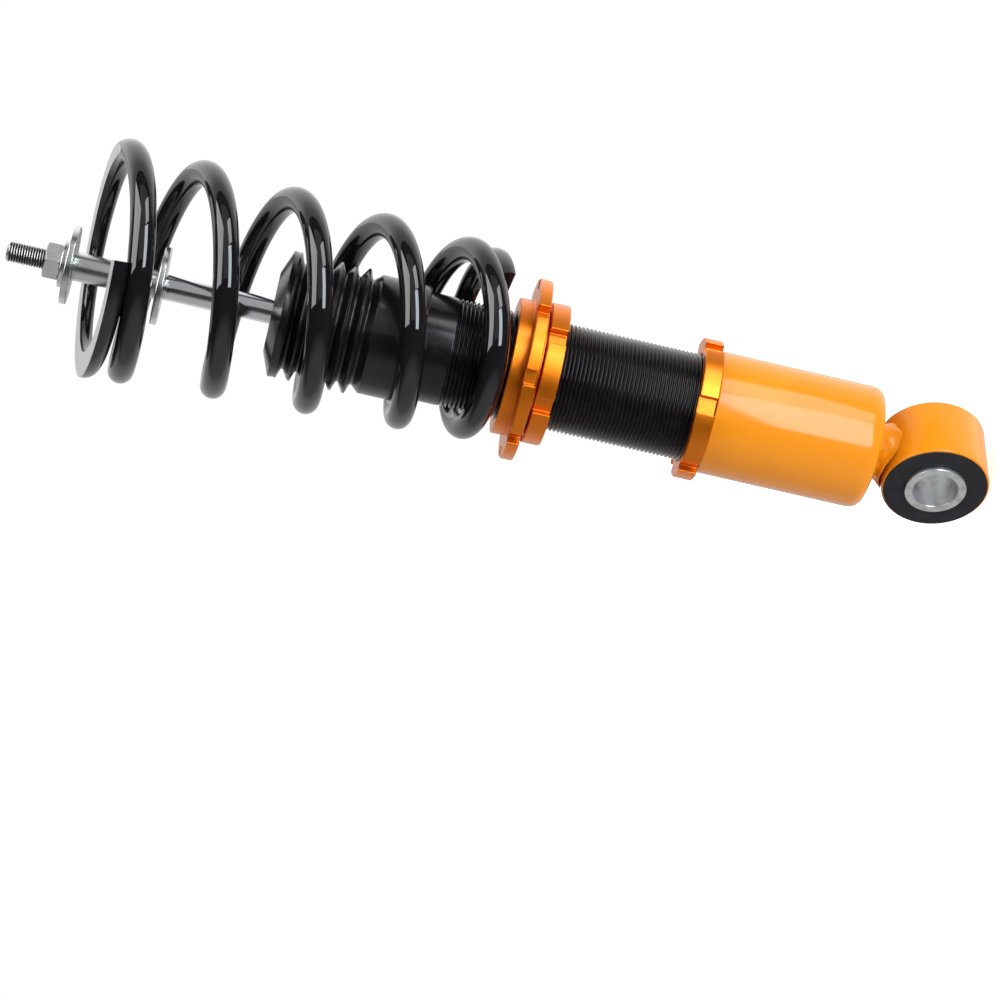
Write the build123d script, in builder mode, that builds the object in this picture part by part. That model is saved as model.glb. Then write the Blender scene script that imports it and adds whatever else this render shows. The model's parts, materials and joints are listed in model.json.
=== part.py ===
from build123d import *
import os
from math import cos, pi, radians, sin

# Height-adjustable coilover, all sizes in millimetres.
# The origin is the centre of the lower eye's bore, +Z runs up the damper axis to the stud,
# and the eye's bolt runs along Y, apart from its small cant.

RUNNING_FIT = 0.05      # radial clearance where one piece turns or slides in another
STAND_OFF = 0.3         # gap between faces on pieces that move apart

# lower eye
EYE_CANT = 5.0          # degrees that the bore leans away from square to the damper axis
EYE_RING_R = 26.2
EYE_RING_BORE_R = 22.5
EYE_RING_WIDTH = 33.0
BUSH_LIP_R = 25.3
BUSH_LIP = 0.7
SLEEVE_R = 15.0
SLEEVE_BORE_R = 11.0
SLEEVE_LENGTH = 37.6

# painted lower bracket
CUP_R = 30.15
CUP_BOTTOM = 31.4
CUP_TOP = 114.2
CUP_FLOOR = 42.0
CUP_EDGE_R = 7.0
NECK_R = 13.2
NECK_FLARE_R = 16.5
NECK_FLARE_TOP = 25.0
NECK_ROOT = 12.0
NECK_TAPER = (3.0, 1.0)     # how far the flare tapers below and above its top
BEAD = 2.6                  # the weld under the bracket

# threaded damper body, M53 x 2 shown as its plain outside diameter
BODY_R = 26.5
BODY_BORE_R = 23.5
BODY_BOTTOM = 50.0
BODY_TOP = 277.0
BASE_THICKNESS = 6.0
BODY_EDGE = (1.0, 0.8)      # chamfers at the body's lower and upper ends
CUP_EDGE = (0.6, 0.9)       # chamfers on the cup's rim, outside and in the bore

# lock rings and spring perch
RING_R = 34.7
RING_HEIGHT = 9.0
RING_GAP = 0.4              # between the bracket and the lower ring
RING_EDGE = 0.8             # chamfers on a ring's rim and bore
RING_SLOTS = 6
RING_SLOT_WIDTH = 8.0
RING_SLOT_DEPTH = 4.0
LOWER_RING_TURN = -41.5     # degrees from +X to one slot
UPPER_RING_TURN = -73.0
PERCH_BOTTOM = 200.2
BOSS_R = 31.0               # the boss under the flange
BOSS_HEIGHT = 2.0
FLANGE_R = 44.5
FLANGE_HEIGHT = 6.0
FLANGE_EDGE = 1.1           # chamfers on the flange's rim and the seat's top
SEAT_R = 33.5
SEAT_TOP = 215.3
PERCH_SLOTS = 8
PERCH_SLOT_WIDTH = 7.3
PERCH_SLOT_DEPTH = 5.2
PERCH_TURN = -50.3

# damper internals
TUBE_R = 19.0
TUBE_BORE_R = 17.0
VALVE_TOP = 66.0
VALVE_PLUG = 6.0            # height of the plug that centres the pressure tube
VALVE_RIM = 2.0             # the valve's foot beyond the tube
VALVE_HOLE_R = 2.0
VALVE_HOLES_R = 12.0        # their circle
GUIDE_BOTTOM = 252.0
GUIDE_SHOULDER = 258.0
GUIDE_TOP = 268.0
BUSH_WALL = 1.0             # of the slide bush round the rod
SEAL_R = 12.0
SEAL_HEIGHT = 5.0
SEAL_LIP = 2.0              # thickness of the seal's lip at the rod
SEAL_WALL_R = 8.4           # the seal's groove runs in to this radius
GLAND_GAP = 1.0             # the gland nut's bore stands off the rod
BUMP_R = 17.0
BUMP_HEIGHT = 26.0
BUMP_ROD_GAP = 0.6
# the bump stop's waisted side: how far in from its radius, and how high up
BUMP_SIDE = ((0, 7), (2.5, 9), (0.8, 11), (1.2, 17), (4.0, 19), (3.0, 21))

# piston rod and what it carries
ROD_R = 6.2
STUD_R = 4.5                # the shank through the clamped pieces and the nut
THREAD_R = 5.0              # the M10 thread that stands above the nut
WASHER_BORE_R = 5.25
ROD_SHOULDER = 383.9
STUD_TOP = 460.5
THREAD_START = 0.5          # gap between the nut and the free thread
THREAD_CHAMFER = 1.0
PISTON_BOTTOM = 214.0
PISTON_HEIGHT = 12.0
SPIGOT_R = 4.0
SHIM_STACK = 2.4
SHIM_RADII = (13.0, 10.5, 8.0)  # from the piston outwards
PISTON_GAP = 0.6            # between the bare piston and the tube
BAND_DEPTH = 2.0            # the groove that the band fills
BAND_MARGIN = 2.0           # piston left above and below the band
PISTON_NUT_FLATS = 13.0
PISTON_NUT_HEIGHT = 6.5
STOP_HEIGHT = 10.0
STOP_R = 11.0
WASHER_R = 19.0
WASHER_HEIGHT = 3.1
SPACER_R = 7.0
SPACER_LENGTH = 41.2
SMALL_WASHER_R = 11.5
SMALL_WASHER_HEIGHT = 2.7
NUT_ACROSS_FLATS = 17.0
NUT_HEIGHT = 8.0
NUT_CORNER = 0.9            # height turned off each corner
NUT_TURN = 14.0             # degrees from +X to one corner

# rubber boot over the top of the body
BOOT_SKIRT_R = 29.2
BOOT_SKIRT_BOTTOM = 258.2
BOOT_SKIRT_TOP = 282.4
BOOT_CREST_R = 31.0
BOOT_ROOT_R = 26.0
BOOT_WALL = 2.4
BOOT_FOLDS = 6
FOLD_ROOT = (0.50, 0.65)    # where a fold's root and crest begin and end, in pitches
FOLD_CREST = (0.90, 1.05)
BOOT_CAP = 4.0              # thickness of the flat cap
BOOT_ROD_GAP = 0.5
BOOT_RIM = 326.4
BOOT_TOP = 330.9
BOOT_FACE_R = 19.5

# coil spring: a loose conical spring whose coils lean and stand off to one side
WIRE_R = 6.2
SPRING_START = 6.0              # degrees from +X to the lower cut end
SIDE_TURN = 44.0                # degrees from +X to the side it stands off to
FRONT_TURN = -46.0              # degrees from +X to the side it leans to
# turns from the lower end, height, coil radius, offsets to the side and the front,
# and how far a coil climbs at the side and at the front
SPRING_LEVELS = (
    (0.00, 229.0, 39.0, 8.0, -1.0, 1.6, -8.9),
    (0.25, 229.8, 41.6, 8.2, -0.9, 1.6, -8.9),
    (0.83, 232.0, 42.0, 8.2, -0.7, 1.6, -8.9),
    (1.10, 242.0, 42.5, 8.1, -0.2, 1.6, -8.9),
    (1.60, 262.0, 43.5, 7.6, 0.7, 1.6, -8.9),
    (4.60, 397.0, 51.2, 7.3, 7.1, 1.6, -8.9),
    (5.10, 411.8, 51.9, 7.2, 7.8, 2.2, -10.3),
    (5.855, 416.3, 52.2, 7.0, 8.0, 2.0, -10.8),
)
SPRING_BLEND = 60.0             # degrees over which these change
POINT_STEP = 15.0               # degrees of turn between points of the wire's centre line
LOWER_TIP = 8.4                 # wire left at the lower tip once ground flat
UPPER_GROUND = (416.6, 2.5, -8.9)   # the upper ground face: its height, side and front climb

EYE_AXIS = Vector(0, -cos(radians(EYE_CANT)), -sin(radians(EYE_CANT)))
EYE_PLANE = Plane(origin=(0, 0, 0), x_dir=(1, 0, 0), z_dir=EYE_AXIS)


def tube(outer_r, inner_r, bottom, top):
    """A plain ring or tube on the damper axis."""
    with BuildPart() as piece:
        with BuildSketch(Plane.XY.offset(bottom)):
            Circle(outer_r)
            Circle(inner_r, mode=Mode.SUBTRACT)
        extrude(amount=top - bottom)
    return piece.part


def turned(*outline):
    """A lathe part: the outline is (radius, height) points in order."""
    with BuildPart() as piece:
        with BuildSketch(Plane.XZ):
            with BuildLine():
                Polyline(*outline, close=True)
            make_face()
        revolve(axis=Axis.Z)
    return piece.part


def eye_tube(outer_r, inner_r, width):
    """A ring across the damper axis, centred on the eye's bore."""
    with BuildPart() as piece:
        with BuildSketch(EYE_PLANE):
            Circle(outer_r)
            Circle(inner_r, mode=Mode.SUBTRACT)
        extrude(amount=width / 2, both=True)
    return piece.part


def lock_ring(bottom, first_slot):
    """A threaded lock ring with spanner slots round its rim."""
    with BuildPart() as piece:
        with BuildSketch(Plane.XY.offset(bottom)):
            Circle(RING_R)
            Circle(BODY_R + RUNNING_FIT, mode=Mode.SUBTRACT)
        extrude(amount=RING_HEIGHT)
        chamfer(piece.edges().filter_by(GeomType.CIRCLE), length=RING_EDGE)
        with BuildSketch(Plane.XY.offset(bottom)):
            with PolarLocations(RING_R, RING_SLOTS, start_angle=first_slot):
                Rectangle(2 * RING_SLOT_DEPTH, RING_SLOT_WIDTH)
        extrude(amount=RING_HEIGHT, mode=Mode.SUBTRACT)
    return piece.part


def hex_nut(across_flats, bore_r, bottom, height, corner_cut, turn):
    """A hexagon nut whose corners are turned down on both faces."""
    corner_r = across_flats / 2 / cos(pi / 6)
    slope = corner_cut * 2
    with BuildPart() as piece:
        with BuildSketch(Plane.XY.offset(bottom)):
            RegularPolygon(radius=corner_r, side_count=6, rotation=turn)
            Circle(bore_r, mode=Mode.SUBTRACT)
        extrude(amount=height)
        with BuildSketch(Plane.XZ):
            with BuildLine():
                Polyline(
                    (0, bottom),
                    (corner_r - slope, bottom),
                    (corner_r, bottom + corner_cut),
                    (corner_r, bottom + height - corner_cut),
                    (corner_r - slope, bottom + height),
                    (0, bottom + height),
                    close=True,
                )
            make_face()
        revolve(axis=Axis.Z, mode=Mode.INTERSECT)
    return piece.part


# ---------------------------------------------------------------- lower eye

bush_sleeve = eye_tube(SLEEVE_R, SLEEVE_BORE_R, SLEEVE_LENGTH)
bush_sleeve.label = "bush_sleeve"

with BuildPart() as rubber_bush:
    with BuildSketch(EYE_PLANE):
        Circle(EYE_RING_BORE_R)
        Circle(SLEEVE_R + RUNNING_FIT, mode=Mode.SUBTRACT)
    extrude(amount=EYE_RING_WIDTH / 2, both=True)
    for side in (-1, 1):
        lip_plane = EYE_PLANE.offset(side * (EYE_RING_WIDTH / 2 + (BUSH_LIP if side < 0 else 0)))
        with BuildSketch(lip_plane):
            Circle(BUSH_LIP_R)
            Circle(SLEEVE_R + RUNNING_FIT, mode=Mode.SUBTRACT)
        extrude(amount=BUSH_LIP)
rubber_bush.part.label = "rubber_bush"

eye_ring = eye_tube(EYE_RING_R, EYE_RING_BORE_R, EYE_RING_WIDTH)
eye_ring.label = "eye_ring"

# the neck is a short round stub whose lower end is saddled onto the eye ring
with BuildPart() as eye_neck:
    with BuildSketch(Plane.XZ):
        with BuildLine():
            Polyline(
                (0, NECK_ROOT),
                (NECK_FLARE_R, NECK_ROOT),
                (NECK_FLARE_R, NECK_FLARE_TOP - NECK_TAPER[0]),
                (NECK_R, NECK_FLARE_TOP + NECK_TAPER[1]),
                (NECK_R, CUP_BOTTOM),
                (0, CUP_BOTTOM),
                close=True,
            )
        make_face()
    revolve(axis=Axis.Z)
    with BuildSketch(EYE_PLANE):
        Circle(EYE_RING_R)
    extrude(amount=EYE_RING_WIDTH, both=True, mode=Mode.SUBTRACT)
eye_neck.part.label = "eye_neck"

# a weld bead runs round the neck where it meets the bracket's floor
with BuildPart() as neck_weld:
    with BuildSketch(Plane.XZ):
        with BuildLine():
            Line((NECK_R, CUP_BOTTOM), (NECK_R + BEAD, CUP_BOTTOM))
            RadiusArc((NECK_R + BEAD, CUP_BOTTOM), (NECK_R, CUP_BOTTOM - BEAD), BEAD)
            Line((NECK_R, CUP_BOTTOM - BEAD), (NECK_R, CUP_BOTTOM))
        make_face()
    revolve(axis=Axis.Z)
neck_weld.part.label = "neck_weld"

# the bracket is a cup with a soft lower edge, bored for the body's thread
with BuildPart() as lower_bracket:
    with BuildSketch(Plane.XZ):
        with BuildLine():
            Line((0, CUP_BOTTOM), (CUP_R - CUP_EDGE_R, CUP_BOTTOM))
            CenterArc((CUP_R - CUP_EDGE_R, CUP_BOTTOM + CUP_EDGE_R), CUP_EDGE_R, -90, 90)
            Polyline(
                (CUP_R, CUP_BOTTOM + CUP_EDGE_R),
                (CUP_R, CUP_TOP - CUP_EDGE[0]),
                (CUP_R - CUP_EDGE[0], CUP_TOP),
                (BODY_R + CUP_EDGE[1], CUP_TOP),
                (BODY_R + RUNNING_FIT, CUP_TOP - CUP_EDGE[1]),
                (BODY_R + RUNNING_FIT, CUP_FLOOR),
                (0, CUP_FLOOR),
                (0, CUP_BOTTOM),
            )
        make_face()
    revolve(axis=Axis.Z)
lower_bracket.part.label = "lower_bracket"

lower_lock_ring = lock_ring(CUP_TOP + RING_GAP, LOWER_RING_TURN)
lower_lock_ring.label = "lower_lock_ring"

# ---------------------------------------------------------------- damper body

threaded_body = turned(
    (BODY_BORE_R, BODY_BOTTOM),
    (BODY_R - BODY_EDGE[0], BODY_BOTTOM),
    (BODY_R, BODY_BOTTOM + BODY_EDGE[0]),
    (BODY_R, BODY_TOP - BODY_EDGE[1]),
    (BODY_R - BODY_EDGE[1], BODY_TOP),
    (BODY_BORE_R, BODY_TOP),
)
threaded_body.label = "threaded_body"

base_top = BODY_BOTTOM + BASE_THICKNESS
with BuildPart() as body_base:
    with BuildSketch(Plane.XY.offset(BODY_BOTTOM)):
        Circle(BODY_BORE_R)
    extrude(amount=BASE_THICKNESS)
body_base.part.label = "body_base"

# the base valve stands on the base and centres the pressure tube; oil passes through its holes
with BuildPart() as base_valve:
    with BuildSketch(Plane.XY.offset(base_top)):
        Circle(TUBE_R + VALVE_RIM)
    extrude(amount=VALVE_TOP - base_top - VALVE_PLUG)
    with BuildSketch(Plane.XY.offset(VALVE_TOP - VALVE_PLUG)):
        Circle(TUBE_BORE_R)
    extrude(amount=VALVE_PLUG)
    with BuildSketch(Plane.XY.offset(base_top)):
        with PolarLocations(VALVE_HOLES_R, 6):
            Circle(VALVE_HOLE_R)
    extrude(amount=VALVE_TOP - base_top, mode=Mode.SUBTRACT)
base_valve.part.label = "base_valve"

pressure_tube = tube(TUBE_R, TUBE_BORE_R, VALVE_TOP - VALVE_PLUG, GUIDE_SHOULDER)
pressure_tube.label = "pressure_tube"

guide_bush = tube(ROD_R + RUNNING_FIT + BUSH_WALL, ROD_R + RUNNING_FIT, GUIDE_BOTTOM, GUIDE_TOP)
guide_bush.label = "guide_bush"

bush_r = ROD_R + RUNNING_FIT + BUSH_WALL
rod_guide = turned(
    (bush_r, GUIDE_BOTTOM),
    (TUBE_BORE_R, GUIDE_BOTTOM),
    (TUBE_BORE_R, GUIDE_SHOULDER),
    (BODY_BORE_R, GUIDE_SHOULDER),
    (BODY_BORE_R, GUIDE_TOP),
    (bush_r, GUIDE_TOP),
)
rod_guide.label = "rod_guide"

seal_top = GUIDE_TOP + SEAL_HEIGHT
rod_seal = turned(
    (ROD_R + RUNNING_FIT, GUIDE_TOP),
    (SEAL_R, GUIDE_TOP),
    (SEAL_R, seal_top),
    (SEAL_WALL_R, seal_top),
    (SEAL_WALL_R, GUIDE_TOP + SEAL_LIP),
    (ROD_R + RUNNING_FIT, GUIDE_TOP + 0.7 * SEAL_LIP),
)
rod_seal.label = "rod_seal"

gland_nut = turned(
    (SEAL_R, GUIDE_TOP),
    (BODY_BORE_R, GUIDE_TOP),
    (BODY_BORE_R, BODY_TOP),
    (ROD_R + GLAND_GAP, BODY_TOP),
    (ROD_R + GLAND_GAP, seal_top),
    (SEAL_R, seal_top),
)
gland_nut.label = "gland_nut"

# a short bump stop sits on the gland nut, inside the boot
bump_top = BODY_TOP + BUMP_HEIGHT
bump_stop = turned(
    (ROD_R + BUMP_ROD_GAP, BODY_TOP),
    (BUMP_R, BODY_TOP),
    *((BUMP_R - inset, BODY_TOP + up) for inset, up in BUMP_SIDE),
    (BUMP_R - 5.5, bump_top),
    (ROD_R + BUMP_ROD_GAP, bump_top),
)
bump_stop.label = "bump_stop"

# the boot grips the body with a plain skirt, folds like a bellows and closes in a flat cap
fold_pitch = (BOOT_RIM - BOOT_SKIRT_TOP) / (BOOT_FOLDS + 0.5)
fold_line = []
for fold in range(BOOT_FOLDS):
    foot = BOOT_SKIRT_TOP + fold * fold_pitch
    fold_line += [
        (BOOT_ROOT_R, foot + FOLD_ROOT[0] * fold_pitch),
        (BOOT_ROOT_R, foot + FOLD_ROOT[1] * fold_pitch),
        (BOOT_CREST_R, foot + FOLD_CREST[0] * fold_pitch),
        (BOOT_CREST_R, foot + FOLD_CREST[1] * fold_pitch),
    ]
dust_boot = turned(
    (BODY_R, BOOT_SKIRT_BOTTOM),
    (BOOT_SKIRT_R, BOOT_SKIRT_BOTTOM),
    (BOOT_SKIRT_R, BOOT_SKIRT_TOP),
    *fold_line,
    (BOOT_CREST_R, BOOT_RIM),
    (BOOT_FACE_R, BOOT_TOP),
    (ROD_R + BOOT_ROD_GAP, BOOT_TOP),
    (ROD_R + BOOT_ROD_GAP, BOOT_TOP - BOOT_CAP),
    (BOOT_FACE_R - 1, BOOT_TOP - BOOT_CAP),
    (BOOT_ROOT_R - BOOT_WALL, BOOT_RIM - BOOT_CAP),
    (BOOT_ROOT_R - BOOT_WALL, BODY_TOP),
    (BODY_R, BODY_TOP),
)
dust_boot.label = "dust_boot"

# ---------------------------------------------------------------- spring and perch

flange_bottom = PERCH_BOTTOM + BOSS_HEIGHT
flange_top = flange_bottom + FLANGE_HEIGHT
with BuildPart() as spring_perch:
    with BuildSketch(Plane.XZ):
        with BuildLine():
            Polyline(
                (BODY_R + RUNNING_FIT, PERCH_BOTTOM),
                (BOSS_R, PERCH_BOTTOM),
                (BOSS_R, flange_bottom),
                (FLANGE_R - FLANGE_EDGE, flange_bottom),
                (FLANGE_R, flange_bottom + FLANGE_EDGE),
                (FLANGE_R, flange_top - FLANGE_EDGE),
                (FLANGE_R - FLANGE_EDGE, flange_top),
                (SEAT_R, flange_top),
                (SEAT_R, SEAT_TOP - FLANGE_EDGE),
                (SEAT_R - FLANGE_EDGE, SEAT_TOP),
                (BODY_R + RUNNING_FIT, SEAT_TOP),
                close=True,
            )
        make_face()
    revolve(axis=Axis.Z)
    with BuildSketch(Plane.XY.offset(flange_bottom)):
        with PolarLocations(FLANGE_R, PERCH_SLOTS, start_angle=PERCH_TURN):
            Rectangle(2 * PERCH_SLOT_DEPTH, PERCH_SLOT_WIDTH)
    extrude(amount=FLANGE_HEIGHT, mode=Mode.SUBTRACT)
spring_perch.part.label = "spring_perch"

upper_ring_bottom = PERCH_BOTTOM - STAND_OFF - RING_HEIGHT
upper_lock_ring = lock_ring(upper_ring_bottom, UPPER_RING_TURN)
upper_lock_ring.label = "upper_lock_ring"


def at_level(column, turns):
    """One column of the spring's levels, on the straight line between the two either side."""
    for below, above in zip(SPRING_LEVELS, SPRING_LEVELS[1:]):
        if turns <= above[0] or above is SPRING_LEVELS[-1]:
            share = (turns - below[0]) / (above[0] - below[0])
            return below[column] + (above[column] - below[column]) * share


def blended(column, turns):
    """The mean over a short stretch of the wire, so that nothing changes abruptly."""
    spread = [turns + SPRING_BLEND / 360 * (step / 8 - 0.5) for step in range(9)]
    return sum(at_level(column, place) for place in spread) / len(spread)


def coil_point(turns):
    """A point of the wire's centre line, by its turns from the lower end."""
    height, radius, side, front, side_climb, front_climb = (
        blended(column, turns) for column in range(1, 7)
    )
    to_side = cos(radians(SPRING_START + 360 * turns - SIDE_TURN))
    to_front = cos(radians(SPRING_START + 360 * turns - FRONT_TURN))
    side += radius * to_side
    front += radius * to_front
    return Vector(
        side * cos(radians(SIDE_TURN)) + front * cos(radians(FRONT_TURN)),
        side * sin(radians(SIDE_TURN)) + front * sin(radians(FRONT_TURN)),
        height + side_climb * to_side + front_climb * to_front,
    )


def ground_normal(level, side_climb, front_climb):
    """The upward normal of a flat that climbs by these amounts over a coil's radius."""
    side_slope, front_slope = (side_climb / level[2], front_climb / level[2])
    return Vector(
        -side_slope * cos(radians(SIDE_TURN)) - front_slope * cos(radians(FRONT_TURN)),
        -side_slope * sin(radians(SIDE_TURN)) - front_slope * sin(radians(FRONT_TURN)),
        1,
    ).normalized()


spring_turns = SPRING_LEVELS[-1][0]
point_count = round(360 * spring_turns / POINT_STEP)
wire_points = [coil_point(spring_turns * n / point_count) for n in range(point_count + 1)]
lowest, highest = (SPRING_LEVELS[0], SPRING_LEVELS[-1])
lower_normal = ground_normal(lowest, lowest[5], lowest[6])
upper_normal = ground_normal(highest, UPPER_GROUND[1], UPPER_GROUND[2])
lower_cut = Plane(
    origin=coil_point(0) - lower_normal * (LOWER_TIP - WIRE_R),
    z_dir=-lower_normal,
)
upper_cut = Plane(
    origin=(
        highest[3] * cos(radians(SIDE_TURN)) + highest[4] * cos(radians(FRONT_TURN)),
        highest[3] * sin(radians(SIDE_TURN)) + highest[4] * sin(radians(FRONT_TURN)),
        UPPER_GROUND[0],
    ),
    z_dir=upper_normal,
)
with BuildPart() as coil_spring:
    with BuildLine() as wire_line:
        Spline(*wire_points)
    with BuildSketch(Plane(origin=wire_line.line @ 0, z_dir=wire_line.line % 0)):
        Circle(WIRE_R)
    sweep()
    split(bisect_by=lower_cut, keep=Keep.BOTTOM)
    split(bisect_by=upper_cut, keep=Keep.BOTTOM)
coil_spring.part.label = "coil_spring"

# ---------------------------------------------------------------- rod assembly

# heights of the pieces clamped on the stud
spacer_bottom = ROD_SHOULDER + WASHER_HEIGHT
washer_bottom = spacer_bottom + SPACER_LENGTH
small_bottom = washer_bottom + WASHER_HEIGHT
top_nut_bottom = small_bottom + SMALL_WASHER_HEIGHT
nut_top = top_nut_bottom + NUT_HEIGHT

piston_top = PISTON_BOTTOM + PISTON_HEIGHT
spigot_top = piston_top + SHIM_STACK
piston_rod = turned(
    (0, PISTON_BOTTOM - SHIM_STACK - PISTON_NUT_HEIGHT - 1),
    (SPIGOT_R, PISTON_BOTTOM - SHIM_STACK - PISTON_NUT_HEIGHT - 1),
    (SPIGOT_R, spigot_top),
    (ROD_R, spigot_top),
    (ROD_R, ROD_SHOULDER - 0.4),
    (ROD_R - 0.4, ROD_SHOULDER),
    (STUD_R, ROD_SHOULDER),
    (STUD_R, nut_top + THREAD_START),
    (THREAD_R, nut_top + THREAD_START),
    (THREAD_R, STUD_TOP - THREAD_CHAMFER),
    (THREAD_R - THREAD_CHAMFER, STUD_TOP),
    (0, STUD_TOP),
)
piston_rod.label = "piston_rod"

piston_r = TUBE_BORE_R - PISTON_GAP
groove_r = TUBE_BORE_R - BAND_DEPTH
band_bottom = PISTON_BOTTOM + BAND_MARGIN
band_top = piston_top - BAND_MARGIN
piston = turned(
    (SPIGOT_R, PISTON_BOTTOM),
    (piston_r, PISTON_BOTTOM),
    (piston_r, band_bottom),
    (groove_r, band_bottom),
    (groove_r, band_top),
    (piston_r, band_top),
    (piston_r, piston_top),
    (SPIGOT_R, piston_top),
)
piston.label = "piston"

piston_band = tube(TUBE_BORE_R - RUNNING_FIT, groove_r, band_bottom, band_top)
piston_band.label = "piston_band"


def shims(face, outward):
    """A stack of thin discs on one face of the piston, widest against it."""
    step = outward * SHIM_STACK / len(SHIM_RADII)
    outline = [(SPIGOT_R, face)]
    for count, radius in enumerate(SHIM_RADII):
        outline += [(radius, face + count * step), (radius, face + (count + 1) * step)]
    return turned(*outline, (SPIGOT_R, face + outward * SHIM_STACK))


rebound_shims = shims(PISTON_BOTTOM, -1)
rebound_shims.label = "rebound_shims"

compression_shims = shims(piston_top, 1)
compression_shims.label = "compression_shims"

nut_bottom = PISTON_BOTTOM - SHIM_STACK - PISTON_NUT_HEIGHT
piston_nut = hex_nut(PISTON_NUT_FLATS, SPIGOT_R, nut_bottom, PISTON_NUT_HEIGHT, NUT_CORNER, 0)
piston_nut.label = "piston_nut"

# the rebound stop meets the rod guide when the rod is all the way out
stop_top = GUIDE_BOTTOM - STAND_OFF
rebound_stop = tube(STOP_R, ROD_R, stop_top - STOP_HEIGHT, stop_top)
rebound_stop.label = "rebound_stop"

lower_washer = tube(WASHER_R, WASHER_BORE_R, ROD_SHOULDER, ROD_SHOULDER + WASHER_HEIGHT)
lower_washer.label = "lower_washer"

spacer_sleeve = tube(SPACER_R, WASHER_BORE_R, spacer_bottom, spacer_bottom + SPACER_LENGTH)
spacer_sleeve.label = "spacer_sleeve"

upper_washer = tube(WASHER_R, WASHER_BORE_R, washer_bottom, washer_bottom + WASHER_HEIGHT)
upper_washer.label = "upper_washer"

nut_washer = tube(SMALL_WASHER_R, WASHER_BORE_R, small_bottom, small_bottom + SMALL_WASHER_HEIGHT)
nut_washer.label = "nut_washer"

top_nut = hex_nut(NUT_ACROSS_FLATS, STUD_R, top_nut_bottom, NUT_HEIGHT, NUT_CORNER, NUT_TURN)
top_nut.label = "top_nut"

# ---------------------------------------------------------------- files

pieces = [
    bush_sleeve, rubber_bush.part, eye_ring, eye_neck.part, neck_weld.part,
    lower_bracket.part, lower_lock_ring, threaded_body, body_base.part, base_valve.part,
    pressure_tube, guide_bush, rod_guide, rod_seal, gland_nut, bump_stop, dust_boot,
    spring_perch.part, upper_lock_ring, coil_spring.part, piston_rod, piston, piston_band,
    rebound_shims, compression_shims, piston_nut, rebound_stop, lower_washer,
    spacer_sleeve, upper_washer, nut_washer, top_nut,
]
os.makedirs("parts", exist_ok=True)
for piece in pieces:
    export_step(piece, f"parts/{piece.label}.step")
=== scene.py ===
"""A height-adjustable coilover: detailed meshes, materials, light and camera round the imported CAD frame.

Lengths are in millimetres until a mesh is made; Blender's own units are metres.
The frame's +Z runs up the damper's axis, and its origin is the centre of the lower eye's bore.
"""

import json
from math import asin, ceil, cos, degrees, pi, radians, sin, sqrt, tan

import bmesh
import bpy
from mathutils import Matrix, Vector, noise


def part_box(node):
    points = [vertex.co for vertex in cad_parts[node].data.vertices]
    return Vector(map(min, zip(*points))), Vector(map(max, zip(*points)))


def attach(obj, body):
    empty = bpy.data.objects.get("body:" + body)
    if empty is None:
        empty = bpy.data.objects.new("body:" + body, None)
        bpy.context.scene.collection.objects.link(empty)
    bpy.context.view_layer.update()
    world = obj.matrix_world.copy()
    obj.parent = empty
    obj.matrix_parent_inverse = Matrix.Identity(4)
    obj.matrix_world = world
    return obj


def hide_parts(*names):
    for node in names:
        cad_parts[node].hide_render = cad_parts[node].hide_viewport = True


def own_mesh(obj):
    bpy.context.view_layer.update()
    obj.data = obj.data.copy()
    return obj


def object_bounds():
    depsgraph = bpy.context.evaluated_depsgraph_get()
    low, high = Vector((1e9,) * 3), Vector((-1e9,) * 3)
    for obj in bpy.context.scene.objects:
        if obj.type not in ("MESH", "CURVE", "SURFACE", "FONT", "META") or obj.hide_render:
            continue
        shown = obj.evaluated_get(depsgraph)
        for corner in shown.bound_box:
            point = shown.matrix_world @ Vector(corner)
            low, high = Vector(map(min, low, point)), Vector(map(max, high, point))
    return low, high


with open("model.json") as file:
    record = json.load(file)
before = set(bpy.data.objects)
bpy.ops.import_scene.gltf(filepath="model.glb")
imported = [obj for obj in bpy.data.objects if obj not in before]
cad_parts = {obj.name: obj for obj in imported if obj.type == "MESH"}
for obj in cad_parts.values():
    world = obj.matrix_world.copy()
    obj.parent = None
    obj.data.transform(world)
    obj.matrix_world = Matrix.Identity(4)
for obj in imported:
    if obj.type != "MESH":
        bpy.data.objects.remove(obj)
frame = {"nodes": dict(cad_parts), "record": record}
cad_low, cad_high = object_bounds()

MM = 0.001
SEGMENTS = 128              # columns round the larger turned parts
FINE_SEGMENTS = 72          # and round the smaller ones
SMOOTH_ANGLE = radians(32)  # edges sharper than this stay sharp


# ---------------------------------------------------------------- sizes taken from the frame

def corners(node):
    """A CAD node's lowest and highest corner, in millimetres."""
    low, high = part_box(node)
    return low / MM, high / MM


def heights(node):
    """Where a CAD node starts and ends along the damper's axis."""
    low, high = corners(node)
    return low.z, high.z


MOUNTS = {mount["name"]: mount for mount in frame["record"]["mounts"]}
EYE = MOUNTS["lower_eye_bore"]
EYE_AXIS = Vector(EYE["axis"]).normalized()


# ---------------------------------------------------------------- mesh making

def rounded(outline, steps=5):
    """An outline with its corners rounded: the points are (radius, height, corner radius)."""
    points = []
    count = len(outline)
    for n, (r, z, fillet) in enumerate(outline):
        here = Vector((r, z))
        if fillet <= 0:
            points.append(here)
            continue
        before = Vector(outline[n - 1][:2]) - here
        after = Vector(outline[(n + 1) % count][:2]) - here
        half = before.angle(after) / 2
        back = min(fillet / tan(half), 0.49 * before.length, 0.49 * after.length)
        start = here + before.normalized() * back
        end = here + after.normalized() * back
        for step in range(steps + 1):
            t = step / steps
            first = start.lerp(here, t)
            points.append(first.lerp(here.lerp(end, t), t))
    return points


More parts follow.
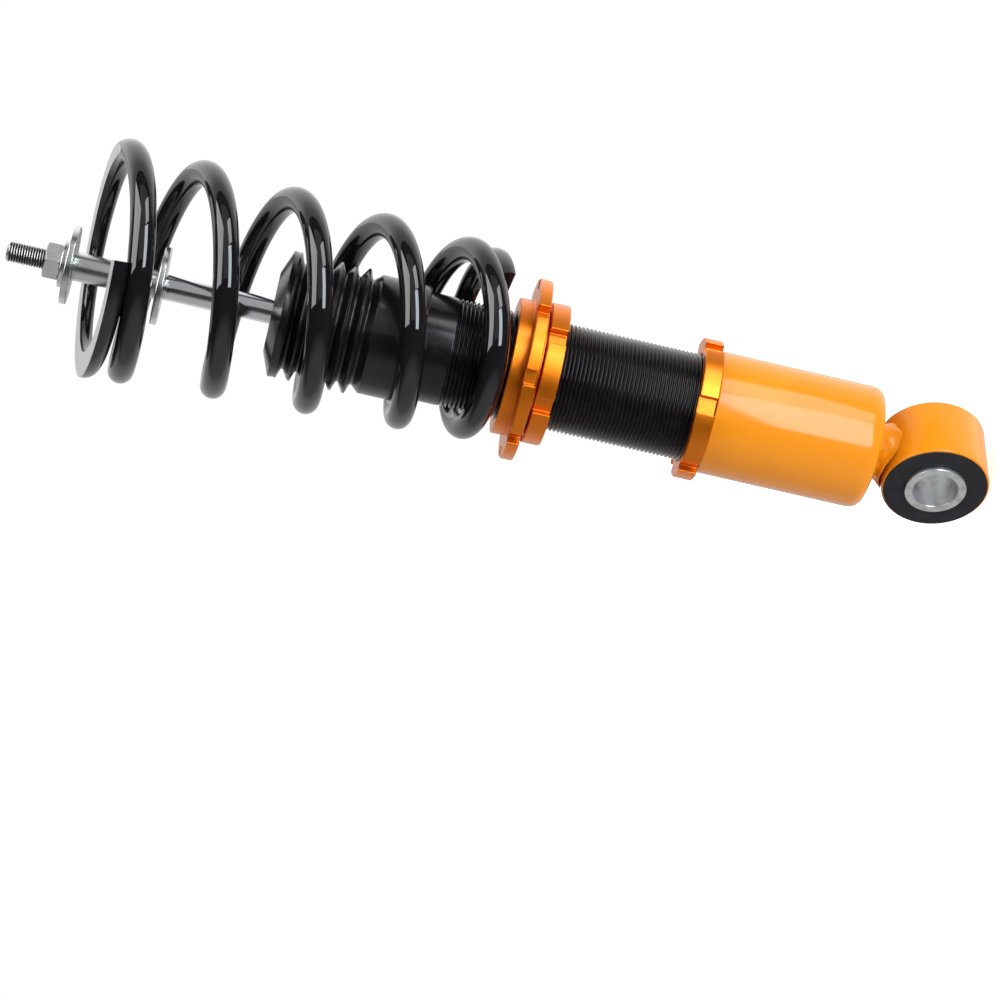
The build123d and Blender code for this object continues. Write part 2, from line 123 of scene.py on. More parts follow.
def tidy(mesh_edit):
    """Merges the points that coincide, drops what that leaves without area, and turns faces out."""
    bmesh.ops.remove_doubles(mesh_edit, verts=mesh_edit.verts, dist=0.0015 * MM)
    bmesh.ops.dissolve_degenerate(mesh_edit, edges=mesh_edit.edges, dist=0.0005 * MM)
    bmesh.ops.recalc_face_normals(mesh_edit, faces=mesh_edit.faces)


def new_piece(name, mesh_edit, material, bevel=0.0):
    """Turns a bmesh in metres into a piece of the scene, with smooth faces and crisp edges."""
    tidy(mesh_edit)
    mesh = bpy.data.meshes.new(name)
    mesh_edit.to_mesh(mesh)
    mesh_edit.free()
    mesh.shade_smooth()
    mesh.set_sharp_from_angle(angle=SMOOTH_ANGLE)
    mesh.materials.append(material)
    piece = bpy.data.objects.new(name, mesh)
    bpy.context.scene.collection.objects.link(piece)
    if bevel:
        edge = piece.modifiers.new("edges", "BEVEL")
        edge.width = bevel * MM
        edge.segments = 3
        edge.limit_method = "ANGLE"
        edge.angle_limit = SMOOTH_ANGLE
        edge.harden_normals = True
    return piece


def skin(columns, rows_close=True, seam_shift=0):
    """Quads between neighbouring columns of points, all the way round, as a bmesh in metres.

    rows_close joins each column's last point to its first. seam_shift is how many rows further
    up the first column each row of the last one meets it, which makes a screw thread.
    """
    mesh_edit = bmesh.new()
    grid = [[mesh_edit.verts.new(point * MM) for point in column] for column in columns]
    rows = len(columns[0])
    for n, column in enumerate(grid):
        wraps = n == len(grid) - 1
        neighbour = grid[0] if wraps else grid[n + 1]
        shift = seam_shift if wraps else 0
        for row in range(rows if rows_close else rows - 1):
            above = (row + 1) % rows
            if shift and (row + shift >= rows or row + 1 + shift >= rows):
                continue
            corners_here = (column[row], column[above],
                            neighbour[(above + shift) % rows], neighbour[(row + shift) % rows])
            mesh_edit.faces.new(corners_here)
    return mesh_edit


def turned_columns(outline, segments, swell=None):
    """The outline's points at each turn angle. swell(angle, radius, height) adds to the radius."""
    columns = []
    for n in range(segments):
        angle = 2 * pi * n / segments
        column = []
        for r, z in outline:
            reach = r + (swell(angle, r, z) if swell else 0)
            column.append(Vector((reach * cos(angle), reach * sin(angle), z)))
        columns.append(column)
    return columns


def turned(name, outline, material, segments=SEGMENTS, swell=None, place=None):
    """A lathe piece: a closed outline of (radius, height, corner radius) turned round an axis."""
    columns = turned_columns(rounded(outline), segments, swell)
    mesh_edit = skin(columns)
    if place is not None:
        bmesh.ops.transform(mesh_edit, matrix=place, verts=mesh_edit.verts)
    return new_piece(name, mesh_edit, material)


def fit(piece, body, nodes):
    """The piece moves with a body and stands for CAD nodes, which it hides."""
    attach(piece, body)
    if nodes:
        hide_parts(*nodes)
    return piece


# ---------------------------------------------------------------- finishes

def finish(name, colour, roughness, metallic=0.0, coat=0.0, coat_roughness=0.03, coat_ior=1.5,
           shine=0.5, grain=300.0, mottle=0.0, bump=0.0, wear=None):
    """A procedural finish. The grain is noise per metre: it mottles the colour and roughness and
    raises a fine relief. wear is a second colour that shows in small worn patches."""
    material = bpy.data.materials.new(name)
    material.use_nodes = True
    nodes, links = material.node_tree.nodes, material.node_tree.links
    shader = nodes["Principled BSDF"]
    shader.inputs["Base Color"].default_value = (*colour, 1)
    shader.inputs["Metallic"].default_value = metallic
    shader.inputs["Roughness"].default_value = roughness
    shader.inputs["Coat Weight"].default_value = coat
    shader.inputs["Coat Roughness"].default_value = coat_roughness
    shader.inputs["Coat IOR"].default_value = coat_ior
    shader.inputs["Specular IOR Level"].default_value = shine
    place = nodes.new("ShaderNodeTexCoord")
    noise_node = nodes.new("ShaderNodeTexNoise")
    noise_node.inputs["Scale"].default_value = grain
    noise_node.inputs["Detail"].default_value = 4.0
    links.new(place.outputs["Object"], noise_node.inputs["Vector"])
    if mottle:
        uneven = nodes.new("ShaderNodeMapRange")
        uneven.inputs["To Min"].default_value = max(roughness - mottle, 0.02)
        uneven.inputs["To Max"].default_value = roughness + mottle
        links.new(noise_node.outputs["Fac"], uneven.inputs["Value"])
        links.new(uneven.outputs["Result"], shader.inputs["Roughness"])
    if wear:
        patches = nodes.new("ShaderNodeTexNoise")
        patches.inputs["Scale"].default_value = grain * 0.35
        patches.inputs["Detail"].default_value = 6.0
        links.new(place.outputs["Object"], patches.inputs["Vector"])
        steep = nodes.new("ShaderNodeMapRange")
        steep.inputs["From Min"].default_value = 0.45
        steep.inputs["From Max"].default_value = 0.75
        links.new(patches.outputs["Fac"], steep.inputs["Value"])
        mix = nodes.new("ShaderNodeMix")
        mix.data_type = "RGBA"
        mix.inputs["A"].default_value = (*colour, 1)
        mix.inputs["B"].default_value = (*wear, 1)
        links.new(steep.outputs["Result"], mix.inputs["Factor"])
        links.new(mix.outputs["Result"], shader.inputs["Base Color"])
    if bump:
        relief = nodes.new("ShaderNodeBump")
        relief.inputs["Strength"].default_value = bump
        relief.inputs["Distance"].default_value = 0.0002
        links.new(noise_node.outputs["Fac"], relief.inputs["Height"])
        links.new(relief.outputs["Normal"], shader.inputs["Normal"])
    return material


yellow_paint = finish("yellow_paint", (0.60, 0.195, 0.003), 0.4, coat=0.7, coat_roughness=0.12,
                      shine=0.1, grain=450, bump=0.03)
orange_anodised = finish("orange_anodised", (0.80, 0.200, 0.004), 0.34, metallic=0.90, coat=0.25,
                         coat_roughness=0.2, grain=900, mottle=0.04)
spring_black = finish("spring_black", (0.004, 0.004, 0.005), 0.5, coat=1.0, coat_roughness=0.03,
                      coat_ior=1.65, shine=0.0, grain=260, bump=0.015)
ground_steel = finish("ground_steel", (0.55, 0.56, 0.55), 0.42, metallic=0.6, grain=1500,
                      mottle=0.08, bump=0.1)
black_plated = finish("black_plated", (0.004, 0.004, 0.005), 0.17, shine=0.35, grain=700,
                      mottle=0.07, wear=(0.008, 0.008, 0.009))
black_rubber = finish("black_rubber", (0.006, 0.006, 0.007), 0.20, shine=0.5, grain=500,
                      mottle=0.06, bump=0.05)
bush_rubber = finish("bush_rubber", (0.009, 0.009, 0.012), 0.5, shine=0.3, grain=420,
                     mottle=0.1, bump=0.3, wear=(0.014, 0.014, 0.017))
zinc_plated = finish("zinc_plated", (0.70, 0.73, 0.70), 0.24, metallic=1.0, grain=350,
                     mottle=0.07, bump=0.02, wear=(0.62, 0.65, 0.62))
zinc_sleeve = finish("zinc_sleeve", (0.70, 0.72, 0.73), 0.34, metallic=0.9, grain=500,
                     mottle=0.08, bump=0.1, wear=(0.45, 0.43, 0.37))
# painted shade: a dark finish laid on the stud thread's valleys so that they look shaded
painted_thread_shade = finish("painted_thread_shade", (0.03, 0.03, 0.035), 0.5, metallic=0.5)
hard_chrome = finish("hard_chrome", (0.74, 0.75, 0.78), 0.13, metallic=1.0, grain=120)
plain_steel = finish("plain_steel", (0.42, 0.42, 0.43), 0.38, metallic=1.0, mottle=0.06)
sintered_iron = finish("sintered_iron", (0.22, 0.22, 0.23), 0.55, metallic=0.9, mottle=0.1,
                       grain=1200, bump=0.2)
bronze = finish("bronze", (0.50, 0.30, 0.13), 0.35, metallic=1.0, mottle=0.05)
seal_rubber = finish("seal_rubber", (0.02, 0.02, 0.02), 0.45, mottle=0.05)
foam = finish("foam", (0.55, 0.42, 0.12), 0.85, grain=1400, bump=0.5)
ptfe = finish("ptfe", (0.20, 0.21, 0.19), 0.45, mottle=0.05)

INNER_FINISHES = {
    "body_base": plain_steel, "base_valve": sintered_iron, "pressure_tube": plain_steel,
    "guide_bush": bronze, "rod_guide": sintered_iron, "rod_seal": seal_rubber,
    "gland_nut": black_plated, "bump_stop": foam, "piston": sintered_iron, "piston_band": ptfe,
    "rebound_shims": plain_steel, "compression_shims": plain_steel, "piston_nut": zinc_plated,
    "rebound_stop": plain_steel,
}
for node, material in INNER_FINISHES.items():
    slots = frame["nodes"][node].material_slots
    for slot in slots:
        slot.material = material


# ---------------------------------------------------------------- lower eye

def across(axis):
    """Turns a lathe piece's axis from +Z to the eye's own axis."""
    return Vector((0, 0, 1)).rotation_difference(axis).to_matrix().to_4x4()


EYE_PLACE = across(EYE_AXIS)
EYE_RING_R = 26.2
EYE_RING_BORE_R = 22.5
EYE_HALF = 16.5
EYE_SOFT = 0.9
eye_ring = turned("eye_ring_painted", [
    (EYE_RING_BORE_R, -EYE_HALF, 0.2), (EYE_RING_R, -EYE_HALF, EYE_SOFT),
    (EYE_RING_R, EYE_HALF, EYE_SOFT), (EYE_RING_BORE_R, EYE_HALF, 0.2),
], yellow_paint, place=EYE_PLACE)
fit(eye_ring, "bracket", ["eye_ring"])

LIP_R = 25.3
LIP = 0.7
SLEEVE_R = 15.0


def ragged(angle, r, z):
    """The moulded rubber ends in a slightly uneven edge where it meets the sleeve."""
    if r < SLEEVE_R + 0.6 and abs(z) > EYE_HALF:
        return 0.25 * noise.noise(Vector((3 * cos(angle), 3 * sin(angle), z))) + 0.05
    return 0


rubber = turned("eye_rubber", [
    (SLEEVE_R + 0.05, -EYE_HALF - LIP, 0.2), (LIP_R, -EYE_HALF - LIP, 0.6),
    (LIP_R, -EYE_HALF, 0.1), (EYE_RING_BORE_R, -EYE_HALF, 0), (EYE_RING_BORE_R, EYE_HALF, 0),
    (LIP_R, EYE_HALF, 0.1), (LIP_R, EYE_HALF + LIP, 0.6), (SLEEVE_R + 0.05, EYE_HALF + LIP, 0.2),
], bush_rubber, swell=ragged, place=EYE_PLACE)
fit(rubber, "bracket", ["rubber_bush"])

SLEEVE_HALF = 18.8
SLEEVE_BORE_R = 11.0
sleeve = turned("eye_sleeve_tube", [
    (SLEEVE_BORE_R, -SLEEVE_HALF, 0.7), (SLEEVE_R, -SLEEVE_HALF, 0.5),
    (SLEEVE_R, SLEEVE_HALF, 0.5), (SLEEVE_BORE_R, SLEEVE_HALF, 0.7),
], zinc_sleeve, segments=96, place=EYE_PLACE)
fit(sleeve, "eye_sleeve", ["bush_sleeve"])

# the neck's foot follows the eye ring's round back, a little way into its wall
NECK_R = 13.2
NECK_FLARE_R = 16.5
CUP_BOTTOM = 31.4
NECK_FOOT = EYE_RING_R - 1.4
LUMP = 2.2                  # how far the weld at the neck's foot stands proud
EYE_CANT = 5                # degrees


def foot_height(x, y):
    """The height of the eye ring's back, just under its surface, above a point."""
    reach = NECK_FOOT ** 2 - x ** 2
    return sqrt(reach) / cos(radians(EYE_CANT)) - y * tan(radians(EYE_CANT))


neck_columns = []
for n in range(SEGMENTS):
    angle = 2 * pi * n / SEGMENTS
    column = []
    for rise in range(0, 11):
        t = rise / 10
        lump = noise.noise(Vector((3.2 * cos(angle), 3.2 * sin(angle), 3 * t))) * (1 - t)
        flare = NECK_R + (NECK_FLARE_R - NECK_R) * (1 - t) ** 2 + LUMP * lump
        x, y = flare * cos(angle), flare * sin(angle)
        foot = foot_height(x, y)
        column.append(Vector((x, y, foot + (CUP_BOTTOM + 0.3 - foot) * t)))
    inner = NECK_R - 4
    x, y = inner * cos(angle), inner * sin(angle)
    column.append(Vector((x, y, CUP_BOTTOM + 0.3)))
    column.append(Vector((x, y, foot_height(x, y))))
    neck_columns.append(column)
neck = new_piece("neck_painted", skin(neck_columns), yellow_paint)
fit(neck, "bracket", ["eye_neck"])

# the weld bead is a chain of overlapping puddles
BEAD = 2.6
PUDDLES = 21
bead_columns = []
for n in range(2 * SEGMENTS):
    angle = pi * n / SEGMENTS
    ripple = abs(sin(angle * PUDDLES / 2))
    uneven = 1.2 * noise.noise(Vector((1.7 * cos(angle), 1.7 * sin(angle), 5.0)))
    reach = BEAD * (0.86 + 0.22 * ripple) + 0.5 * uneven
    column = [Vector(((NECK_R - 1) * cos(angle), (NECK_R - 1) * sin(angle), CUP_BOTTOM + 0.4))]
    for step in range(9):
        turn = radians(90 * step / 8)
        r = NECK_R - 0.6 + (reach + 0.6) * cos(turn)
        column.append(Vector((r * cos(angle), r * sin(angle),
                              CUP_BOTTOM + 0.1 - (reach * 1.05) * sin(turn))))
    bead_columns.append(column)
bead = new_piece("neck_weld_bead", skin(bead_columns), yellow_paint)
fit(bead, "bracket", ["neck_weld"])

# ---------------------------------------------------------------- bracket and lock rings

BODY_R = 26.5
BODY_BORE_R = 23.5
CUP_R = 30.15
CUP_TOP = 114.2
CUP_FLOOR = 42.0
CUP_EDGE_R = 7.0
FIT = 0.05
BORE_CHAMFER = 0.8
bracket = turned("bracket_painted", [
    (0.02, CUP_BOTTOM, 0), (CUP_R, CUP_BOTTOM, CUP_EDGE_R), (CUP_R, CUP_TOP, 0.7),
    (BODY_R + FIT, CUP_TOP, 1.0), (BODY_R + FIT, CUP_FLOOR, 0.5), (0.02, CUP_FLOOR, 0),
], yellow_paint, segments=160)
fit(bracket, "bracket", ["lower_bracket"])


def slotted_rim(outer_r, slots, first_slot, width, depth, arc_steps=200):
    """The points of a disc's outline with parallel-sided slots cut into its edge."""
    half = degrees(asin(width / 2 / outer_r))
    points = []
    for slot in range(slots):
        middle = first_slot + 360 * slot / slots
        out = Vector((cos(radians(middle)), sin(radians(middle))))
        side = Vector((-out.y, out.x))
        edge = sqrt(outer_r ** 2 - (width / 2) ** 2)
        floor = outer_r - depth
        for along, aside in ((edge, -1), (floor, -1), (floor, 1), (edge, 1)):
            points.append(out * along + side * aside * width / 2)
        sweep = 360 / slots - 2 * half
        steps = max(round(arc_steps / slots), 4)
        for step in range(1, steps):
            turn = radians(middle + half + sweep * step / steps)
            points.append(Vector((outer_r * cos(turn), outer_r * sin(turn))))
    return points


def circle(r, steps):
    return [Vector((r * cos(2 * pi * n / steps), r * sin(2 * pi * n / steps)))
            for n in range(steps)]


def stacked(levels, bore):
    """A bmesh of flat-topped layers: levels are (outline, bottom, top), and the bore is a list of
    (radius, height) from the bottom to the top that all layers share."""
    mesh_edit = bmesh.new()

    def loop(points, z):
        verts = [mesh_edit.verts.new(Vector((p.x, p.y, z)) * MM) for p in points]
        return verts

    def wall(low, high):
        count = len(low)
        for n in range(count):
            m = (n + 1) % count
            mesh_edit.faces.new((low[n], low[m], high[m], high[n]))

    def flat(*loops):
        edges = []
        for verts in loops:
            for n in range(len(verts)):
                pair = (verts[n], verts[(n + 1) % len(verts)])
                edges.append(mesh_edit.edges.get(pair) or mesh_edit.edges.new(pair))
        bmesh.ops.triangle_fill(mesh_edit, use_beauty=True, use_dissolve=False, edges=edges)

    steps = 160
    bore_loops = [loop(circle(r, steps), z) for r, z in bore]
    for low, high in zip(bore_loops, bore_loops[1:]):
        wall(low, high)
    top = bore_loops[0]
    for n, (outline, bottom, height) in enumerate(levels):
        low, high = loop(outline, bottom), loop(outline, height)
        wall(low, high)
        flat(top, low)
        top = high
    flat(top, bore_loops[-1])
    return mesh_edit


def lock_ring(name, node, first_slot):
    low, high = heights(node)
    bore = [(BODY_R + FIT + BORE_CHAMFER, low), (BODY_R + FIT, low + BORE_CHAMFER),
            (BODY_R + FIT, high - BORE_CHAMFER), (BODY_R + FIT + BORE_CHAMFER, high)]
    outline = slotted_rim(RING_R, RING_SLOTS, first_slot, RING_SLOT_WIDTH, RING_SLOT_DEPTH)
    return new_piece(name, stacked([(outline, low, high)], bore), orange_anodised, bevel=RING_EDGE)


RING_R = 34.7
RING_EDGE = 0.7
RING_SLOTS = 6
RING_SLOT_WIDTH = 8.0
RING_SLOT_DEPTH = 4.0
LOWER_RING_TURN = -41.5     # degrees from +X to one slot
UPPER_RING_TURN = -73.0
lower_ring = lock_ring("lower_ring_anodised", "lower_lock_ring", LOWER_RING_TURN)
fit(lower_ring, "lower_ring", ["lower_lock_ring"])
upper_ring = lock_ring("upper_ring_anodised", "upper_lock_ring", UPPER_RING_TURN)
fit(upper_ring, "upper_ring", ["upper_lock_ring"])

# ---------------------------------------------------------------- perch

perch_low, perch_high = heights("spring_perch")
BOSS_HEIGHT = 2.0
BOSS_R = 31.0
FLANGE_HEIGHT = 6.0
FLANGE_R = 44.5
SEAT_R = 33.5
PERCH_EDGE = 0.8
PERCH_SLOTS = 8
PERCH_TURN = -50.3
PERCH_SLOT_WIDTH = 7.3
PERCH_SLOT_DEPTH = 5.2
ROUND_STEPS = 160
flange_bottom = perch_low + BOSS_HEIGHT
flange_top = flange_bottom + FLANGE_HEIGHT
perch_outline = slotted_rim(FLANGE_R, PERCH_SLOTS, PERCH_TURN, PERCH_SLOT_WIDTH, PERCH_SLOT_DEPTH,
                            arc_steps=240)
perch_bore = [(BODY_R + FIT + BORE_CHAMFER, perch_low), (BODY_R + FIT, perch_low + BORE_CHAMFER),
              (BODY_R + FIT, perch_high - BORE_CHAMFER), (BODY_R + FIT + BORE_CHAMFER, perch_high)]
perch = new_piece("perch_anodised", stacked([
    (circle(BOSS_R, ROUND_STEPS), perch_low, flange_bottom), (perch_outline, flange_bottom, flange_top),
    (circle(SEAT_R, ROUND_STEPS), flange_top, perch_high),
], perch_bore), orange_anodised, bevel=PERCH_EDGE)
fit(perch, "perch", ["spring_perch"])

# ---------------------------------------------------------------- threads and body

def thread_columns(r, depth, pitch, bottom, top, segments, run_out, profile):
    """Columns of an outside screw thread. The profile is (share of the pitch, share of depth)."""
    rows = len(profile)
    turns = int(ceil((top - bottom) / pitch)) + 2
    columns = []
    for n in range(segments):
        angle = 2 * pi * n / segments
        lead = bottom - pitch + pitch * n / segments
        column = []
        for k in range(turns * rows + 1):
            share, dip = profile[k % rows]
            z = lead + pitch * (k // rows + share)
            held = min(max(z, bottom), top)
            fade = min(max((top - z) / run_out, 0), 1) * min(max((z - bottom) / run_out, 0), 1)
            fade = fade * fade * (3 - 2 * fade)
            reach = r - depth * dip * fade
            column.append(Vector((reach * cos(angle), reach * sin(angle), held)))
        columns.append(column)
    return columns, rows


def threaded(name, outline, thread, material, segments):
    """A turned piece with a screw thread. The outline runs from the thread's top round to its
    bottom, and the thread is (radius, depth, pitch, bottom, top, run out, profile)."""
    r, depth, pitch, bottom, top, run_out, profile = thread
    columns, rows = thread_columns(r, depth, pitch, bottom, top, segments, run_out, profile)
    mesh_edit = skin(columns, rows_close=False, seam_shift=rows)
    rest = turned_columns(rounded(outline), segments)
    grid = [[mesh_edit.verts.new(point * MM) for point in column] for column in rest]
    for n, column in enumerate(grid):
        neighbour = grid[(n + 1) % len(grid)]
        for row in range(len(column) - 1):
            mesh_edit.faces.new((column[row], column[row + 1], neighbour[row + 1],
                                 neighbour[row]))
    return new_piece(name, mesh_edit, material)


BODY_THREAD = ((0.00, 0.0), (0.09, 0.12), (0.36, 0.92), (0.43, 1.0), (0.56, 1.0), (0.63, 0.92),
               (0.90, 0.12))
BODY_BOTTOM = 50.0
THREAD_TOP = 244.2
BODY_TOP = 277.0
body = threaded("body_plated", [
    (BODY_R, THREAD_TOP, 0), (BODY_R, BODY_TOP, 0.8), (BODY_BORE_R, BODY_TOP, 0.4),
    (BODY_BORE_R, BODY_BOTTOM, 0), (BODY_R, BODY_BOTTOM, 0),
], (BODY_R, 1.05, 2.0, BODY_BOTTOM, THREAD_TOP, 1.2, BODY_THREAD), black_plated, 112)
fit(body, "damper_body", ["threaded_body"])

# ---------------------------------------------------------------- boot

SKIRT_R = 29.2
SKIRT_BOTTOM = 258.2
SKIRT_TOP = 282.4
CREST_R = 31.0
ROOT_R = 26.0
FOLDS = 6
RIM = 326.4
FACE_R = 19.5
BOOT_TOP = 330.9
ROD_R = 6.2
BOOT_WALL = 2.4
BOOT_CAP = 4.0
fold_pitch = (RIM - SKIRT_TOP) / (FOLDS + 0.5)
boot_line = [(BODY_R, SKIRT_BOTTOM, 0.3), (SKIRT_R, SKIRT_BOTTOM, 0.8), (SKIRT_R, SKIRT_TOP, 0.7)]
for fold in range(FOLDS):
    foot = SKIRT_TOP + fold * fold_pitch
    boot_line += [
        (ROOT_R, foot + 0.52 * fold_pitch, 0.5), (ROOT_R, foot + 0.66 * fold_pitch, 0.5),
        (CREST_R, foot + 0.92 * fold_pitch, 0.35), (CREST_R - 0.4, foot + 1.10 * fold_pitch, 0.5),
    ]
boot_line += [
    (CREST_R, RIM, 0.5), (FACE_R, BOOT_TOP, 0.5), (ROD_R + 0.5, BOOT_TOP, 0.5),
    (ROD_R + 0.5, BOOT_TOP - BOOT_CAP, 0.3), (FACE_R - 1, BOOT_TOP - BOOT_CAP, 0.3),
    (ROOT_R - BOOT_WALL, RIM - BOOT_CAP, 0.5), (ROOT_R - BOOT_WALL, BODY_TOP, 0), (BODY_R, BODY_TOP, 0),
]
boot = turned("boot_rubber", boot_line, black_rubber, segments=144)
fit(boot, "damper_body", ["dust_boot"])
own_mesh(boot)

# ---------------------------------------------------------------- spring

WIRE_R = 6.2
SPRING_START = 6.0
SIDE_TURN = 44.0
FRONT_TURN = -46.0
SIDE = Vector((cos(radians(SIDE_TURN)), sin(radians(SIDE_TURN)), 0))
FRONT = Vector((cos(radians(FRONT_TURN)), sin(radians(FRONT_TURN)), 0))
# turns from the lower end, height, coil radius, offsets to the side and the front,
# and how far a coil climbs at the side and at the front
SPRING_LEVELS = (
    (0.00, 229.0, 39.0, 8.0, -1.0, 1.6, -8.9),
    (0.25, 229.8, 41.6, 8.2, -0.9, 1.6, -8.9),
    (0.83, 232.0, 42.0, 8.2, -0.7, 1.6, -8.9),
    (1.10, 242.0, 42.5, 8.1, -0.2, 1.6, -8.9),
    (1.60, 262.0, 43.5, 7.6, 0.7, 1.6, -8.9),
    (4.60, 397.0, 51.2, 7.3, 7.1, 1.6, -8.9),
    (5.10, 411.8, 51.9, 7.2, 7.8, 2.2, -10.3),
    (5.855, 416.3, 52.2, 7.0, 8.0, 2.0, -10.8),
)
SPRING_BLEND = 60.0                 # degrees over which these change
LOWER_TIP = 8.4                     # wire left at the lower tip once ground flat
UPPER_GROUND = (416.6, 2.5, -8.9)   # the upper ground face: its height, side and front climb
SPRING_TURNS = SPRING_LEVELS[-1][0]


def at_level(column, turns):
    """One column of the spring's levels, on the straight line between the two either side."""
    for below, above in zip(SPRING_LEVELS, SPRING_LEVELS[1:]):
        if turns <= above[0] or above is SPRING_LEVELS[-1]:
            share = (turns - below[0]) / (above[0] - below[0])
            return below[column] + (above[column] - below[column]) * share


def blended(column, turns):
    """The mean over a short stretch of the wire, so that nothing changes abruptly."""
    spread = [turns + SPRING_BLEND / 360 * (step / 8 - 0.5) for step in range(9)]
    return sum(at_level(column, place) for place in spread) / len(spread)


def coil_point(turns):
    """A point of the wire's centre line, by its turns from the lower end."""
    height, radius, side, front, side_climb, front_climb = (
        blended(column, turns) for column in range(1, 7)
    )
    to_side = cos(radians(SPRING_START + 360 * turns - SIDE_TURN))
    to_front = cos(radians(SPRING_START + 360 * turns - FRONT_TURN))
    across_side = side + radius * to_side
    across_front = front + radius * to_front
    lift = height + side_climb * to_side + front_climb * to_front
    return SIDE * across_side + FRONT * across_front + Vector((0, 0, lift))


def ground_normal(level, side_climb, front_climb):
    """The upward normal of a flat that climbs by these amounts over a coil's radius."""
    normal = Vector((0, 0, 1)) - SIDE * side_climb / level[2] - FRONT * front_climb / level[2]
    return normal.normalized()


COIL_STEP = 3.0
WIRE_ROWS = 40
columns_count = round(360 * SPRING_TURNS / COIL_STEP)
spring_edit = bmesh.new()
rings = []
for n in range(columns_count + 1):
    turns = SPRING_TURNS * n / columns_count
    here = coil_point(turns)
    ahead = (coil_point(turns + 0.002) - coil_point(turns - 0.002)).normalized()
    out = (ahead.cross(Vector((0, 0, 1)))).normalized()
    up = out.cross(ahead)
    ring = []
    for row in range(WIRE_ROWS):
        turn = 2 * pi * row / WIRE_ROWS
        ring.append(spring_edit.verts.new((here + out * WIRE_R * cos(turn)
                                           + up * WIRE_R * sin(turn)) * MM))
    rings.append(ring)
for low, high in zip(rings, rings[1:]):
    for row in range(WIRE_ROWS):
        after = (row + 1) % WIRE_ROWS
        spring_edit.faces.new((low[row], high[row], high[after], low[after]))
for ring in (rings[0], rings[-1]):
    spring_edit.faces.new(ring)
lowest, highest = SPRING_LEVELS[0], SPRING_LEVELS[-1]
lower_normal = ground_normal(lowest, lowest[5], lowest[6])
upper_normal = ground_normal(highest, UPPER_GROUND[1], UPPER_GROUND[2])
lower_at = coil_point(0) - lower_normal * (LOWER_TIP - WIRE_R)
upper_at = SIDE * highest[3] + FRONT * highest[4] + Vector((0, 0, UPPER_GROUND[0]))
for cut_at, cut_normal in ((lower_at, -lower_normal), (upper_at, upper_normal)):
    everything = spring_edit.verts[:] + spring_edit.edges[:] + spring_edit.faces[:]
    result = bmesh.ops.bisect_plane(spring_edit, geom=everything, plane_co=cut_at * MM,
                                    plane_no=cut_normal, clear_outer=True, dist=1e-7)
    rim = [part for part in result["geom_cut"] if isinstance(part, bmesh.types.BMEdge)]
    made = bmesh.ops.edgenet_fill(spring_edit, edges=rim)["faces"]
    flats = bmesh.ops.triangulate(spring_edit, faces=made)["faces"]
    for face in flats:
        face.material_index = 1
spring = new_piece("spring_painted", spring_edit, spring_black)
spring.data.materials.append(ground_steel)
fit(spring, "spring_set", ["coil_spring"])
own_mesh(spring)

# ---------------------------------------------------------------- rod and stud

STUD_R = 5.0
SPIGOT_R = 4.0              # the thin lower end that carries the piston
SPIGOT_TOP = 228.4
THREAD_MARGIN = 1.5         # the thread's roots get no painted shade this near the tip
BORE_GAP = 0.02             # between the stud and the pieces clamped on it
ROD_SHOULDER = 383.9
STUD_TOP = 460.5
spacer_top = heights("spacer_sleeve")[1]
nut_low, nut_top = heights("top_nut")
rod_bottom = heights("piston_rod")[0]
STUD_THREAD = ((0.0, 0.0), (0.10, 0.10), (0.40, 0.92), (0.50, 1.0), (0.60, 0.92), (0.90, 0.10))
rod = threaded("rod_chromed", [
    (STUD_R, STUD_TOP - 0.9, 0), (STUD_R - 0.9, STUD_TOP, 0.2), (0.02, STUD_TOP, 0),
    (0.02, rod_bottom, 0), (SPIGOT_R, rod_bottom, 0), (SPIGOT_R, SPIGOT_TOP, 0),
    (ROD_R, SPIGOT_TOP, 0),
    (ROD_R, ROD_SHOULDER, 0.4), (STUD_R, ROD_SHOULDER, 0), (STUD_R, spacer_top, 0),
], (STUD_R, 0.7, 1.25, spacer_top, STUD_TOP - 0.9, 0.7, STUD_THREAD), hard_chrome, FINE_SEGMENTS)
rod.data.materials.append(zinc_plated)
rod.data.materials.append(painted_thread_shade)
ROOT_DEPTH = 0.35       # painted shade darkens the thread's valleys from this deep
for face in rod.data.polygons:
    if face.center.z > ROD_SHOULDER * MM + 0.0001:
        face.material_index = 1
        if face.center.z > spacer_top * MM and face.center.z < (STUD_TOP - THREAD_MARGIN) * MM:
            # faces deep in the thread's valleys take the dark finish of painted shade
            if face.center.xy.length < (STUD_R - ROOT_DEPTH) * MM:
                face.material_index = 2
fit(rod, "rod", ["piston_rod"])


def washer(name, node, r, bore_r, soft):
    low, high = heights(node)
    return turned(name, [(bore_r, low, 0.1), (r, low, soft), (r, high, soft), (bore_r, high, 0.1)],
                  zinc_plated, segments=112)


for name, node, r, soft in (
    ("lower_washer_zinc", "lower_washer", 19.0, 0.55), ("upper_washer_zinc", "upper_washer", 19.0, 0.55),
    ("nut_washer_zinc", "nut_washer", 11.5, 0.5), ("spacer_zinc", "spacer_sleeve", 7.0, 0.4),
):
    fit(washer(name, node, r, STUD_R + BORE_GAP, soft), "rod", [node])

